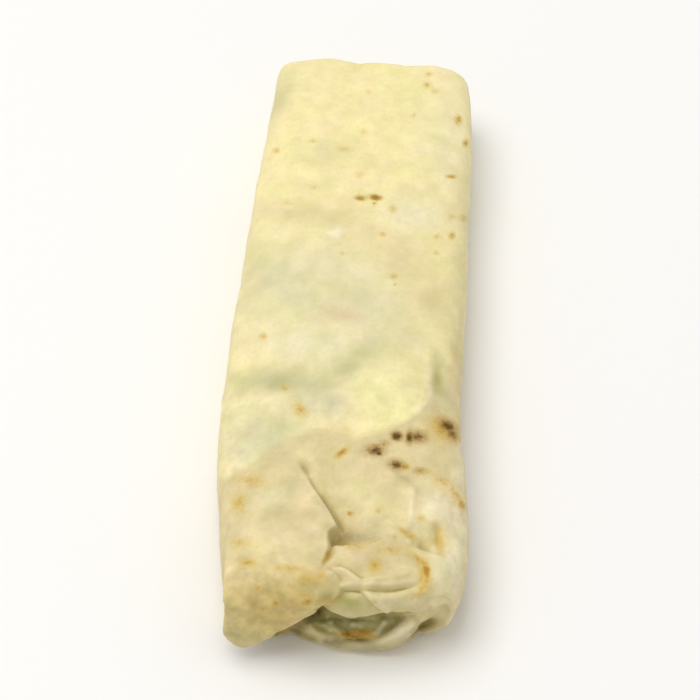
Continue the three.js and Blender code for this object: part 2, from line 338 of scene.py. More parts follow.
# %% Melt body and lip together
VOXEL = 0.64
TOP_FOLDS_FROM, TOP_FOLDS_OVER = -18.0, 13.0  # the folds of the top lie nearer and higher than this
FRONT_FOLDS_FROM, FRONT_FOLDS_OVER = -50.0, 1.0  # and here they go down over the front
NEAT_FOLDS_FROM, NEAT_FOLDS_UNDER = 70.0, 11.0  # those of the neat end lie further away and lower than this
CORNER_ROUNDS = 45  # of averaging, for a full round corner
LOWER_LAYER_IN, LOWER_LAYER_BACK = 0.6, 1.5  # at that corner


def skin_over(rings):
    """Vertices and faces of a closed skin over rings whose second half mirrors the first."""
    count, around = rings.shape[:2]
    number = np.arange(count * around).reshape(count, around)
    after = np.roll(number, -1, axis=1)
    faces = np.stack([number[:-1], number[1:], after[1:], after[:-1]], axis=-1).reshape(-1, 4)
    k = np.arange(around // 2 - 1)
    cap = np.stack([k, k + 1, around - 2 - k, around - 1 - k], axis=-1)
    return rings.reshape(-1, 3), np.vstack([faces, cap, cap[:, ::-1] + number[-1, 0]])


def melted(parts, voxel):
    """One mesh over several closed skins."""
    points, faces = [], []
    for rings in parts:
        part_points, part_faces = skin_over(rings)
        faces.append(part_faces + sum(len(p) for p in points))
        points.append(part_points)
    loose = bpy.data.meshes.new("loose skins")
    loose.from_pydata(np.vstack(points).tolist(), [], np.vstack(faces).tolist())
    holder = add_object("loose skins", loose)
    remesh = holder.modifiers.new("melt", "REMESH")
    remesh.mode = "VOXEL"
    remesh.voxel_size = voxel
    remesh.use_smooth_shade = True
    depsgraph = bpy.context.evaluated_depsgraph_get()
    mesh = bpy.data.meshes.new_from_object(holder.evaluated_get(depsgraph), depsgraph=depsgraph)
    bpy.data.objects.remove(holder)
    bpy.data.meshes.remove(loose)
    return mesh


def carries_folds(edge):
    """Tells whether an edge lies on the top or the front of the loose end, or low on the neat end."""
    middle = (edge.verts[0].co + edge.verts[1].co) / 2
    if middle.y > NEAT_FOLDS_FROM:
        return middle.z < NEAT_FOLDS_UNDER
    lowest = TOP_FOLDS_OVER if middle.y > FRONT_FOLDS_FROM else FRONT_FOLDS_OVER
    return middle.y < TOP_FOLDS_FROM and middle.z > lowest


def refine(mesh):
    """Cuts the faces that carry folds in four."""
    grid = bmesh.new()
    grid.from_mesh(mesh)
    folded = [edge for edge in grid.edges if carries_folds(edge)]
    bmesh.ops.subdivide_edges(grid, edges=folded, cuts=1, use_grid_fill=True)
    grid.to_mesh(mesh)
    grid.free()


def positions_of(mesh):
    points = np.empty(len(mesh.vertices) * 3)
    mesh.vertices.foreach_get("co", points)
    return points.reshape(-1, 3)


def normals_of(mesh):
    directions = np.empty(len(mesh.vertices) * 3, dtype=np.float32)
    mesh.vertex_normals.foreach_get("vector", directions)
    return directions.reshape(-1, 3).astype(float)


def move_points(mesh, points):
    mesh.vertices.foreach_set("co", points.ravel())
    mesh.update()


def averaged(mesh, points, rounds):
    """The points after some rounds in which each one goes to the middle of its neighbours."""
    ends = np.empty(len(mesh.edges) * 2, dtype=int)
    mesh.edges.foreach_get("vertices", ends)
    start, end = ends.reshape(-1, 2).T

    def over_neighbours(values):
        return np.bincount(start, values[end], len(values)) + np.bincount(end, values[start], len(values))

    count = over_neighbours(np.ones(len(points)))
    for _ in range(rounds):
        points = np.stack([over_neighbours(values) for values in points.T], axis=1) / count[:, None]
    return points


dough = melted([body, lip], VOXEL)
dough.name = "cheese_roll_dough"
refine(dough)
points = averaged(dough, positions_of(dough), 2)
x, y, z = points.T
at_corner = ease(8.5, 13.5, x) * ease(-50.0, -55.0, y)
beside_lip = ease(-6.5, -4.5, x) * ease(2.0, -0.5, x) * ease(-55.0, -59.0, y) * ease(13.0, 15.5, z)
share = np.maximum(at_corner, beside_lip)[:, None]
points += share * (averaged(dough, points, CORNER_ROUNDS) - points)
under_corner = ease(11.4, 10.0, z) * ease(12.5, 16.5, x)
points[:, 0] -= LOWER_LAYER_IN * under_corner * ease(-55.6, -57.2, y)
points[:, 1] += LOWER_LAYER_BACK * under_corner * ease(-50.0, -60.0, y) * ease(24.0, 17.5, x)
move_points(dough, points)
print("the skin has", len(dough.vertices), "points and", len(dough.polygons), "faces")

# %% [markdown]
# The folds are drawn on a chart: the flat picture that the camera's rays make on the level of the roll's
# top. On the top it is simply x and y, and over the edge of the loose end it goes on without a break, as if
# the dough were unrolled. A fold is a line on that chart with a profile across it. `ridge` stands up on
# both sides, and with a negative height it is a valley; `shift` moves it to the left of its line. `lapped`
# is the edge of an upper layer that lies on the left of the line: it drops steeply at the edge, sinks back
# slowly behind it, and presses a hollow into the layer below. `lump` is one soft hill or, with a negative
# height, a dent.

# %% A chart to draw the folds on
CHART_LEVEL = 20.0
EYE = np.array([-13.5, -623.2, 773.3])  # the camera, from the middle of the plain body


class Chart:
    """Where each point of the dough lies in a flat picture, and how openly it is seen there."""

    def __init__(self, x, y, seen):
        self.x, self.y, self.seen = x, y, seen

    def beside(self, stations, reach):
        """The points near a line, how far they lie to the left of it, and their share of the way along it."""
        line = smooth_line(stations)
        low, high = line.min(axis=0) - reach, line.max(axis=0) + reach
        inside = (self.x > low[0]) & (self.x < high[0]) & (self.y > low[1]) & (self.y < high[1])
        near = np.nonzero(inside)[0]
        run_x, run_y = np.diff(line, axis=0).T
        dx, dy = self.x[near, None] - line[:-1, 0], self.y[near, None] - line[:-1, 1]
        part = np.clip((dx * run_x + dy * run_y) / (run_x**2 + run_y**2), 0.0, 1.0)
        dx, dy = dx - part * run_x, dy - part * run_y
        distance = np.hypot(dx, dy)
        nearest = distance.argmin(axis=1)
        pick = np.arange(len(near)), nearest
        offset = distance[pick] * np.where((run_x * dy - run_y * dx)[pick] < 0, -1.0, 1.0)
        return near, offset, (nearest + part[pick]) / len(run_x)

    def ridge(self, stations, height, width, fade=(0.2, 0.2), shift=0.0):
        near, offset, share = self.beside(stations, 3.0 * width + abs(shift))
        relief = np.zeros(len(self.x))
        crest = height * bump(offset - shift, width)
        relief[near] = crest * fading(share, fade)
        return relief

    def lapped(self, stations, height, back, dip=0.0, room=1.4, edge=0.3, fade=(0.2, 0.2)):
        near, offset, share = self.beside(stations, 2.5 * max(back, room))
        upper = height * ease(-edge, edge, offset) * bump(np.maximum(offset - edge, 0.0), back)
        lower = dip * ease(edge, -edge, offset) * bump(np.minimum(offset + edge, 0.0), room)
        relief = np.zeros(len(self.x))
        relief[near] = (upper - lower) * fading(share, fade)
        return relief

    def from_middle(self, x, y, wide, long, turn=0.0):
        """How far the points are from a spot's middle, in half widths and half lengths of the spot."""
        cos, sin = np.cos(np.radians(turn)), np.sin(np.radians(turn))
        dx, dy = self.x - x, self.y - y
        return (cos * dx + sin * dy) / wide, (cos * dy - sin * dx) / long

    def lump(self, x, y, height, wide, long, turn=0.0):
        """A soft lump, turned to the left by `turn` degrees."""
        across, along = self.from_middle(x, y, wide, long, turn)
        return height * bump(across, 1.0) * bump(along, 1.0)


def chart_of_view(mesh):
    """The chart that the camera's rays make."""
    rays = positions_of(mesh) - EYE
    outward = normals_of(mesh)
    share = (CHART_LEVEL - EYE[2]) / rays[:, 2]
    facing_eye = -(outward * rays).sum(axis=1) / np.linalg.norm(rays, axis=1)
    seen = ease(0.02, 0.3, facing_eye) * ease(-0.6, 0.0, outward[:, 2])
    return Chart(EYE[0] + rays[:, 0] * share, EYE[1] + rays[:, 1] * share, seen)


def chart_of_neat_end(mesh):
    """The neat end, seen from inside the roll: to the right is x, and upwards is z."""
    x, _, z = positions_of(mesh).T
    return Chart(x, z, ease(0.3, 0.8, normals_of(mesh)[:, 1]))


chart = chart_of_view(dough)
ridge, lapped, lump = chart.ridge, chart.lapped, chart.lump
print("the chart reaches from", np.round(chart.y.min(), 1), "to", np.round(chart.y.max(), 1), "mm")

# %% [markdown]
# A flap crosses the roll on a slant, and its edge makes a long low step with a light rim. On the flap, the
# left panel laps over the middle panel in a slit that ends in a dark notch. Below the notch the near panel
# comes up from under the left one, with a torn, slightly curled upper edge.

# %% Fold the flap and its three panels
FLAP_EDGE = [
    (15.4, -10), (14.9, -15), (12.8, -20.8), (8.5, -25.4), (1, -29.3), (-6, -28), (-14, -32.8), (-28, -46),
]
OVERLAP = [
    (-4.4, -63.5), (-3.9, -60.6), (-3.1, -58.6), (-2.6, -56.4), (-2.5, -54.2), (-2.3, -52.6),
    (-0.8, -51.1), (-1.8, -49.2), (-3.0, -47.2), (-4.7, -44.6), (-6.2, -42.2), (-8.1, -38.4), (-9.4, -35.6),
]
TORN_EDGE = [
    (10, -52.2), (8.3, -52.9), (6.1, -54.0), (4.6, -54.9), (3.0, -55.7), (1.7, -55.0), (0.4, -54.6),
    (-0.8, -54.0), (-2.2, -54.1),
]

panels = (
    lapped(FLAP_EDGE, 0.55, 13.0, dip=0.3, room=3.0, edge=1.1, fade=(0.3, 0.2))
    + ridge(FLAP_EDGE[:6], 0.28, 1.1, fade=(0.1, 0.45), shift=0.6)
    + lapped(OVERLAP[1:], 1.2, 5.0, dip=1.4, room=2.8, fade=(0.3, 0.3))
    + ridge(OVERLAP[6:], -1.4, 0.5, fade=(0.05, 0.65), shift=-0.5)
    + ridge(OVERLAP[:6], -0.5, 0.5, fade=(0.3, 0.1), shift=-0.5)
    + ridge([(-1.9, -48.0), (-0.5, -50.3), (0.4, -52.2), (1.4, -53.0)], -0.8, 0.8, fade=(0.4, 0.3))
    + lump(-1.2, -52.8, -1.3, 1.5, 1.5)
    + lump(-7.7, -37.2, -0.7, 1.1, 1.8, 30)
    + ridge([(-2, -52.8), (0.6, -53.3), (3.4, -53.4), (8, -52.6)], -2.1, 2.0, fade=(0.3, 0.5))
    + lapped(TORN_EDGE, 1.1, 3.4, dip=0.7, room=1.5, edge=0.32, fade=(0.3, 0.1))
    + lump(0.6, -55.9, 0.35, 0.6, 0.5)
    + lump(2.2, -56.0, 0.3, 0.5, 0.5)
    + lump(3.9, -55.4, 0.35, 0.6, 0.5)
)
print("the flap's layers stand up to", np.round(panels.max(), 1), "mm")

# %% [markdown]
# Towards the right-hand corner the sheet has more cloth than it needs, so it gathers in pleats: an upright
# one and a slanting one that meet, a toasted crease that curves down to the end, and full soft bulges
# beside it. At the very end the near panel turns over in a roll, with a leaf of dough tucked in below it.
# Left of that roll the panel stands up in a small ear, which two folds make, one inside the other.

# %% Gather the pleats of the corner and the end
CORNER_CREASE = [(12.4, -53.6), (13.6, -56), (15.6, -58.4), (16.2, -61), (15.5, -64.2), (13, -67.4)]
END_CREASE = [(-0.4, -65.5), (2, -65.3), (5, -65.0), (9, -64.7), (13, -63.5), (15, -62.6)]
EAR = [(4.6, -64.1), (3.5, -63.1), (2.4, -62.0), (1.1, -61.0), (-0.4, -60.5), (-2.2, -60.7)]
INNER_EAR = [(-0.1, -65.0), (-0.3, -63.4), (-1.0, -62.3), (-2.1, -61.8), (-3.4, -61.4)]
LEAF_LEFT = [(-5, -70.8), (-3, -69.2), (-0.8, -67.6), (0.8, -65.4)]
LEAF_RIGHT = [(3.4, -65.2), (4.8, -66.8), (6.6, -68.6), (9.4, -70.8)]

pleats = (
    ridge([(12.8, -40), (12.5, -45.5), (12.0, -52)], 0.5, 0.7)
    + ridge([(5.5, -46.4), (8.4, -49), (10.8, -51.3), (13.2, -54.4)], 0.45, 0.7, fade=(0.4, 0.1))
    + ridge([(14.2, -53.0), (17.3, -54.8), (20.4, -56.5)], -0.9, 0.9, fade=(0.25, 0.4))
    + ridge([(16.2, -65.4), (16.9, -67.4), (17.3, -69.4)], -0.5, 0.6, fade=(0.3, 0.3))
    + ridge([(8.5, -43), (10.4, -46.5), (11.4, -49.5)], -0.45, 1.5, fade=(0.4, 0.3))
    + ridge([(8.6, -36.4), (10.8, -38.2), (13.8, -39.6)], -0.35, 1.0, fade=(0.4, 0.4))
    + ridge([(14.5, -36), (19.2, -38.8), (23.2, -45)], 0.35, 0.9)
    + ridge([(17, -48), (18.2, -51.5), (19.4, -56.5)], -0.6, 0.8, fade=(0.4, 0.4))
    + ridge([(13.2, -52.4), (15.6, -53.6), (19.5, -53.2)], -1.1, 1.4, fade=(0.4, 0.4))
    + lapped(CORNER_CREASE, 0.5, 3.2, dip=0.5, room=1.2, edge=0.5, fade=(0.4, 0.3))
    + lapped(END_CREASE, 0.8, 2.4, dip=1.0, room=1.2, edge=0.35, fade=(0.15, 0.3))
    + lapped(EAR, 0.7, 1.4, dip=0.9, room=1.6, edge=0.4, fade=(0.2, 0.25))
    + lapped(INNER_EAR, 0.45, 1.4, dip=0.55, room=1.1, edge=0.35, fade=(0.2, 0.3))
    + ridge([(3.6, -63.4), (7, -62.9), (10.4, -62.0), (13.8, -60.2)], 0.6, 0.8)
    + lapped(LEAF_LEFT, 0.7, 2.5, dip=0.7, room=1.1, edge=0.35, fade=(0.1, 0.3))
    + lapped(LEAF_RIGHT, 0.7, 3.0, dip=0.6, room=1.0, edge=0.35, fade=(0.2, 0.1))
    + ridge([(-13.5, -62.2), (-9.5, -61.3), (-5, -62.2)], -0.35, 0.9, fade=(0.4, 0.4))
    + lump(17, -45.5, 1.0, 3.6, 5.0)
    + lump(18.8, -58.5, 1.0, 2.6, 3.6)
    + lump(18.2, -68.6, 0.7, 1.7, 1.7)
    + lump(-5.2, -63.8, 0.5, 3.2, 2.4)
    + lump(-2.4, -63.6, 0.7, 1.7, 2.4, 15)
)
print("the pleats stand up to", np.round(pleats.max(), 1), "mm")

# %% [markdown]
# Inside the recess several layers end one behind the other. On the left a crumpled sheet leans down to the
# right, in the middle lies a toasted bit, and at the right the bottom sheet stands up with a light edge.
# Below that edge the corner has sunk in and left a small pocket.

# %% Draw the layers inside the recess
LEANING_SHEET = [(2.0, -76.6), (0.8, -75.2), (-0.6, -73.8), (-1.0, -72.6)]
BOTTOM_SHEET = [(15.2, -70.6), (13.4, -71.2), (12.3, -72.2), (10.4, -74.2), (8.4, -75.9), (6.8, -77.0)]
POCKET_EDGE = [(13.0, -75.4), (13.9, -73.8), (15.3, -72.2), (18.0, -70.8)]

inner_layers = (
    lapped(LEANING_SHEET, 0.9, 2.4, dip=0.9, fade=(0.15, 0.15))
    + lapped(BOTTOM_SHEET, 0.9, 3.0, dip=1.0, fade=(0.3, 0.3))
    + lapped(POCKET_EDGE, 0.5, 1.5, dip=0.8, fade=(0.3, 0.2))
    + lump(15.7, -73.0, -1.3, 2.5, 0.8, 42)
    + lump(4.4, -75.4, 1.0, 2.4, 0.8, 4)
    + lump(3.6, -77.0, -0.7, 2.4, 0.5)
    + ridge([(2.0, -73.6), (3.4, -73.3), (5.0, -73.6)], 0.6, 0.6)
    + ridge([(9.2, -71.6), (8.2, -73.6), (7.0, -75.8)], 0.7, 0.7)
    + ridge([(-5.6, -73.4), (-4.6, -75.2), (-2.2, -76.4), (0, -77)], 0.7, 0.6)
    + ridge([(-3.2, -73.6), (-1.8, -74.4), (-1.0, -75.4)], 0.5, 0.5)
    + ridge([(-5, -77.0), (0.4, -78.3), (5, -78.6), (11, -77.2)], 0.5, 0.9, fade=(0.3, 0.3))
)
print("the inner layers stand up to", np.round(inner_layers.max(), 1), "mm")

# %% [markdown]
# Under the rest of the top the filling pushes up soft pillows, and the sheet sinks a little between them.
# Two faint slanting bands show where layers end beneath the top one.

# %% Press the filling up into the top
filling = (
    lump(5, -15.5, 1.0, 7, 8)
    + lump(-5, -21, 0.5, 6, 4)
    + lump(-12, -2, 0.7, 9, 9)
    + lump(3, 42, 0.5, 14, 16)
    + lump(-6, 10, 0.3, 8, 6)
    + ridge([(6, -5), (0, -11), (-8, -16.5), (-18, -17)], -0.55, 2.6)
    + ridge([(15.6, -3), (16.8, -10), (16.6, -15), (18.5, -21)], -0.8, 2.2, fade=(0.4, 0.4))
    + ridge([(14.8, -4), (14.9, -10), (14.4, -17)], 0.35, 1.0)
    + ridge([(3, 14), (10, 7), (16, -1), (18.5, -7)], 0.35, 2.2)
    + ridge([(-21, 28), (-8, 26.5), (2, 27), (14, 23)], 0.25, 2.4)
    + ridge([(-17, -45), (-13, -42), (-9, -40)], 0.25, 1.3)
    + ridge([(-18, -52), (-12, -50), (-7, -51)], -0.2, 1.6)
    + lump(-14, -55, 0.4, 5, 5)
    + lump(-5.6, 22.4, 0.25, 1.1, 0.6)
    + lump(-4.6, 22.6, 0.35, 0.8, 1.4)
)
relief = (panels + pleats + inner_layers + filling) * chart.seen
print("together the folds reach from", np.round(relief.min(), 1), "to", np.round(relief.max(), 1), "mm")

# %% [markdown]
# The neat end is closed like a parcel: two side folds slant in, and the top layer comes down over them.
# Their edges are drawn on a second chart, which looks straight at that end. Then all the folds are pressed
# into the skin together. Where a fold cuts across the rows of points its edge comes out as a fine zigzag,
# so the points that stick out from their neighbours are averaged with them.

# %% Fold the neat end and press all folds in
TUCKS_SUNK = 0.45  # keeps them behind the solid's end
EVENED = 0.8  # share by which a point that sticks out goes back
TUCKED_EDGE = [(-18, 9.4), (-9, 7.4), (0, 6.8), (8, 7.5), (18, 9.8)]

parcel = chart_of_neat_end(dough)
tucks = (
    parcel.lapped(TUCKED_EDGE, 0.7, 3.0, dip=0.5, edge=0.35)
    + parcel.lapped([(-3.4, 0.6), (-6.4, 3.8), (-9.6, 7.0)], 0.4, 2.5, dip=0.6, room=1.3)
    + parcel.lapped([(11.6, 7.0), (8.4, 3.8), (5.2, 0.6)], 0.4, 2.5, dip=0.6, room=1.3)
)
relief += (tucks - TUCKS_SUNK) * parcel.seen
pressed = positions_of(dough) + normals_of(dough) * relief[:, None]
smooth = averaged(dough, pressed, 1)
sticking_out = np.linalg.norm(smooth - pressed, axis=1, keepdims=True)
move_points(dough, pressed + EVENED * ease(0.03, 0.10, sticking_out) * (smooth - pressed))
print("the tucks stand up to", np.round(tucks.max(), 1), "mm")

# %% [markdown]
# No dough is as smooth as its folds. Three sizes of noise, one inside the other, make the sheet gently
# uneven. Blender's own noise needs no seed, so the roll comes out the same every time.

# %% Make the sheet uneven
BROAD, MIDDLING, FINE = 0.26, 0.14, 0.03  # heights of the three noises
GATHERED = 0.05  # what the pleated part has more of the fine one


def uneven(points, size, detail=2):
    """Soft noise over the points, with lumps about `size` millimetres wide."""
    return np.array([noise.fractal(Vector(p) / size, 0.9, 2.1, detail) for p in points])


points = positions_of(dough)
outward = normals_of(dough)
gathered = ease(-10.0, -40.0, points[:, 1])
swell = BROAD * uneven(points, 14.0) + MIDDLING * uneven(points + 50.0, 5.5)
swell += (FINE + GATHERED * gathered) * uneven(points - 80.0, 2.2)
points += outward * swell[:, None]
points[:, 2] = np.maximum(points[:, 2], 0.0)
move_points(dough, points)
print("the noise moves the skin by up to", np.round(np.abs(swell).max(), 2), "mm")

# %% [markdown]
# The colour of the bread changes over the roll. The far part is pale and warm. Nearer, herbs and cheese
# show through the thin sheet as green and grey clouds, and the flap and the lip have more of the pan's
# ochre. These slow changes could be painted by hand, but a list of soft patches on the same chart is easy
# to read and to correct, and needs no picture file. Some patches are painted light and shade rather than
# colour: painted shade in the slit, the creases, the valley, the recess and along the bottom edge, painted
# shadow along the far left edge, and painted highlights on rims and bulges that face the light.

# %% List the patches of tint
CREAM = (0.89, 0.78, 0.405)
STRAW = (0.715, 0.605, 0.32)
OCHRE = (0.60, 0.45, 0.145)
GOLD = (0.66, 0.49, 0.12)
# green of the herbs under the sheet; one long patch along the far left edge is a painted shadow
SAGE_AND_SHADE = (0.50, 0.495, 0.25)
MIST = (0.72, 0.67, 0.43)
# pale dough; on the rims of the end's roll and leaf, on the right bulges and on the bottom sheet's edge it is
# a painted highlight
PALE_AND_HIGHLIGHT = (0.83, 0.765, 0.49)
LEMON = (0.86, 0.80, 0.40)
ROSE = (0.70, 0.57, 0.34)
LEAF = (0.455, 0.43, 0.13)
# the inner layers' own colour, darkened as painted shade for the recess
INNER_IN_SHADE = (0.36, 0.315, 0.07)
# grey of the filling and the inner layers; in the valley right of the notch, along the bottom edge and on the
# far left edge it is painted shade
GREY_AND_SHADE = (0.39, 0.36, 0.20)
SHADE = (0.14, 0.11, 0.02)
# painted shade for creases and hollows
CREASE_SHADE = (0.46, 0.39, 0.16)
# milky dough; on ridges, along the flap's edge, beside the upright pleat and on the right bulges it is a
# painted highlight
MILK_AND_HIGHLIGHT = (0.90, 0.82, 0.54)
FLAKE = (0.93, 0.86, 0.56)

TINTS = [  # colour, x, y, strength, half width, half length and turn
    (MIST, -12, 8, 0.8, 13, 12), (MIST, 4, 6, 0.6, 10, 8, -40), (MIST, -4, -8, 0.5, 14, 10),
    (PALE_AND_HIGHLIGHT, -9, -6, 0.8, 7, 4), (PALE_AND_HIGHLIGHT, -2, 13, 0.35, 7, 3), (MIST, -16, -29, 0.9, 8, 9),
    (MIST, -5, -21, 0.8, 5, 4), (PALE_AND_HIGHLIGHT, -18, -36, 0.5, 4, 3), (LEMON, 6, -16, 0.9, 6, 7),
    (LEMON, 6.5, -22.5, 0.9, 4, 2.5, 25), (LEMON, -15, 1, 0.4, 5, 3.5), (LEMON, -19, -24, 0.4, 4, 3),
    (SAGE_AND_SHADE, -16, -16.2, 0.7, 6.5, 3), (GREY_AND_SHADE, -15, -16.6, 0.3, 7, 2.8, 3), (SAGE_AND_SHADE, -7.5, -16.5, 0.6, 4, 2.6),
    (SAGE_AND_SHADE, -1, -12, 0.75, 5.5, 2.4, 42), (SAGE_AND_SHADE, 3, -7, 0.4, 4, 3, 30), (SAGE_AND_SHADE, -9, 44, 0.35, 3, 3.6),
    (SAGE_AND_SHADE, -9, 35, 0.2, 4, 2, 20), (SAGE_AND_SHADE, -13, -28, 0.3, 3, 2, 30), (SAGE_AND_SHADE, -17, -31, 0.4, 7, 6),
    (SAGE_AND_SHADE, -5, -21, 0.25, 4, 3), (SAGE_AND_SHADE, -12, 8, 0.2, 9, 8), (SAGE_AND_SHADE, -20, 10, 0.25, 3, 10),
    (SAGE_AND_SHADE, 16.8, -9.5, 0.5, 1.4, 3, 6), (SAGE_AND_SHADE, 20.5, 2, 0.3, 2, 26), (SAGE_AND_SHADE, 12, -4, 0.25, 4, 3),
    # the green patch at (-18, 60) here and the grey one at (-19, 56) are painted shadow along the far left
    # edge
    (LEMON, 20.5, -16, 0.5, 2.4, 7), (SAGE_AND_SHADE, -18, 60, 0.25, 3, 9, -20), (SAGE_AND_SHADE, 6, 0, 0.2, 5, 4),
    (ROSE, -3, 1.5, 0.9, 3.5, 2.2), (OCHRE, 20, -7, 0.4, 1.3, 5), (STRAW, -12, 27, 0.75, 11, 2.8),
    (STRAW, 2, 24, 0.5, 9, 2.6, -10), (STRAW, 8, 18, 0.6, 8, 5, -30), (STRAW, 13, 8, 0.7, 8, 5, -50),
    (PALE_AND_HIGHLIGHT, 10, 29, 0.9, 6, 4), (MILK_AND_HIGHLIGHT, 10, 28.5, 0.45, 5, 3.5), (PALE_AND_HIGHLIGHT, 16, 50, 0.6, 5, 14),
    (FLAKE, -5.7, 22.4, 1.2, 1.3, 0.7), (FLAKE, -4.6, 22.6, 1.2, 0.9, 1.6), (MILK_AND_HIGHLIGHT, -6, 24.6, 0.3, 1.2, 0.5),
    (GREY_AND_SHADE, -19, 56, 0.3, 2.5, 6, -15),
]
# on the flap, the dark patches along the slit, at its top end, in the crease at (10.9, -38) and at the lip's
# end are painted shade; the dark patch at (12.9, -28) is the olive middle of a charred mark
FLAP_TINTS = [
    (SAGE_AND_SHADE, 17, -15, 0.9, 1.4, 3.8, 8), (LEAF, 16.4, -13.2, 1.1, 0.9, 2.2, 10),
    (SHADE, 12.9, -28, 0.3, 1.6, 1.3), (SAGE_AND_SHADE, 18.8, -18.5, 0.5, 1.6, 2.6),
    (MILK_AND_HIGHLIGHT, 14.9, -14.5, 0.6, 0.8, 4.5, 3), (MILK_AND_HIGHLIGHT, 13.4, -20.5, 0.6, 0.8, 2.6, -35),
    (OCHRE, 17.9, -25.4, 0.6, 2.8, 1.8, -40), (SHADE, 10.9, -38, 0.22, 3, 0.5, -34),
    (CREAM, 8, -44, 0.3, 5, 4), (MILK_AND_HIGHLIGHT, 12.7, -46, 0.7, 0.7, 4.5, 2), (PALE_AND_HIGHLIGHT, 21.8, -37, 0.7, 2, 9),
    (PALE_AND_HIGHLIGHT, 21.8, -54, 0.9, 2.2, 10), (MILK_AND_HIGHLIGHT, 17.5, -44, 0.75, 4, 6), (MILK_AND_HIGHLIGHT, 19, -60, 0.75, 3, 5),
    (LEMON, 3, -42, 0.45, 5, 2.5), (LEMON, 16, -53, 0.35, 3, 2), (MIST, -14, -45, 0.5, 5, 2.6, 30),
    (PALE_AND_HIGHLIGHT, -1.4, -53.2, 0.4, 1, 0.8), (SHADE, -3.6, -46.8, 0.35, 0.4, 3.4, 33),
    (SHADE, -8.2, -37.6, 0.4, 0.6, 1.2, 28), (GREY_AND_SHADE, 2.9, -53.2, 0.6, 4.5, 1.1), (ROSE, 6, -57, 0.5, 6, 2.6),
    (ROSE, -11, -55, 0.35, 8, 5), (ROSE, 1, -38, 0.25, 6, 3), (GOLD, 18.2, -52.2, 0.8, 0.8, 3.4, 10),
    (GOLD, 15.7, -60.5, 0.6, 1.1, 4.2, 5), (GOLD, 12.2, -51.5, 0.7, 2.4, 0.8, -35),
    (GOLD, 6.3, -59.5, 0.7, 1.3, 1.6), (GOLD, 7.5, -65.2, 0.45, 5, 0.5, 4),
    (GOLD, -2.8, -58.3, 0.7, 0.5, 1.8, -10), (PALE_AND_HIGHLIGHT, 9, -67, 0.4, 5, 1.8, 6), (CREAM, -15, -58, 0.4, 4.5, 4),
    (OCHRE, -12, -68, 0.85, 11, 4.5), (OCHRE, -5.5, -63.5, 0.8, 3, 2.2),
    (CREASE_SHADE, -4.6, -64.2, 0.5, 2.6, 1.6), (SHADE, -2.6, -68, 0.4, 1.7, 1, 35),
    (OCHRE, -16, -61, 0.3, 5, 2.5), (OCHRE, -12, -75, 0.75, 12, 6), (LEAF, 1.4, -68.6, 0.9, 3.2, 2.4, -30),
    (SAGE_AND_SHADE, -16, -79, 0.3, 5, 4), (PALE_AND_HIGHLIGHT, 2, -71.4, 0.4, 5, 0.7, 5), (PALE_AND_HIGHLIGHT, 8.2, -68.8, 0.6, 0.7, 2.2, 35),
    (PALE_AND_HIGHLIGHT, 18.2, -67.9, 0.5, 1.6, 1.6), (PALE_AND_HIGHLIGHT, 20.5, -70, 0.5, 2.5, 3),
]
# in the recess, the dark patches are painted shade in its hollows, beside the lip, under the toasted bit, in
# the pocket and along the bottom edge, where the grey patches are painted shade too; the grey and straw
# patches higher up are the inner layers' own colours
RECESS_TINTS = [
    (SAGE_AND_SHADE, 0.5, -75, 0.5, 8, 4), (STRAW, -4.2, -75.6, 0.5, 1.8, 1.2, -40), (GREY_AND_SHADE, 3.6, -73.5, 0.7, 2, 0.6),
    (STRAW, 1, -74.5, 0.6, 1, 1.2, 30), (GREY_AND_SHADE, -2.2, -74.3, 0.7, 1.2, 0.6, -35),
    (GREY_AND_SHADE, 8.2, -73.6, 0.7, 0.8, 2.4, -28), (SHADE, -5.2, -71.4, 1.3, 2.2, 2.2, -25),
    (SHADE, -4, -72.8, 0.5, 2.8, 1.4, -20), (SHADE, -0.4, -72.7, 0.7, 1.6, 0.8, -20),
    (SHADE, 3.5, -72.6, 0.5, 4, 0.5), (SHADE, -7.4, -75.2, 0.8, 1.6, 1.2),
    (SHADE, 11.2, -71.5, 0.6, 1.6, 0.8), (SHADE, 10.4, -73.3, 0.6, 2.6, 0.5, 48),
    (SHADE, 4, -77.1, 1.1, 2.6, 0.9, 3), (SHADE, 8, -79.3, 0.6, 5.5, 1),
    (SHADE, 15.6, -73.2, 0.8, 2.4, 0.8, 42), (GREY_AND_SHADE, -1, -78, 0.9, 4, 0.9, -15),
    (SHADE, -1.5, -78.2, 0.9, 5, 1.2, -8), (GREY_AND_SHADE, 5, -79, 0.9, 7, 1.2), (GREY_AND_SHADE, 14, -76.6, 0.8, 4, 1.8, 25),
    (SHADE, -7.6, -76.2, 0.7, 1.6, 1.6), (PALE_AND_HIGHLIGHT, 12, -74.4, 0.9, 3.4, 1.1, 45),
]
print("there are", len(TINTS + FLAP_TINTS + RECESS_TINTS), "patches of tint")

# %% [markdown]
# The patches are mixed into one colour for each point, one over the other: first those of the whole top,
# then those of the flap, and last those of the recess, which are kept off the lip in front of it. Towards
# the sides that the chart doesn't show they fade out. Under the recess patches lies the inner layers' colour,
# darkened as painted shade. A mottling of light and dark and of warm and green lies over them, hollows get
# painted shade, and ridges a painted milky highlight. The material adds the fine detail.

# %% Mix the tints over the dough
MOTTLED = (0.14, 0.14, 0.17)  # how strongly light and dark vary in red, green and blue
BLUSHED = (0.035, 0.0, 0.10)  # the same for warm and green
EDGE_BLUR, HIDDEN_BLUR = 1.2, 14.0  # of the flap's colour, and more where the chart doesn't show it
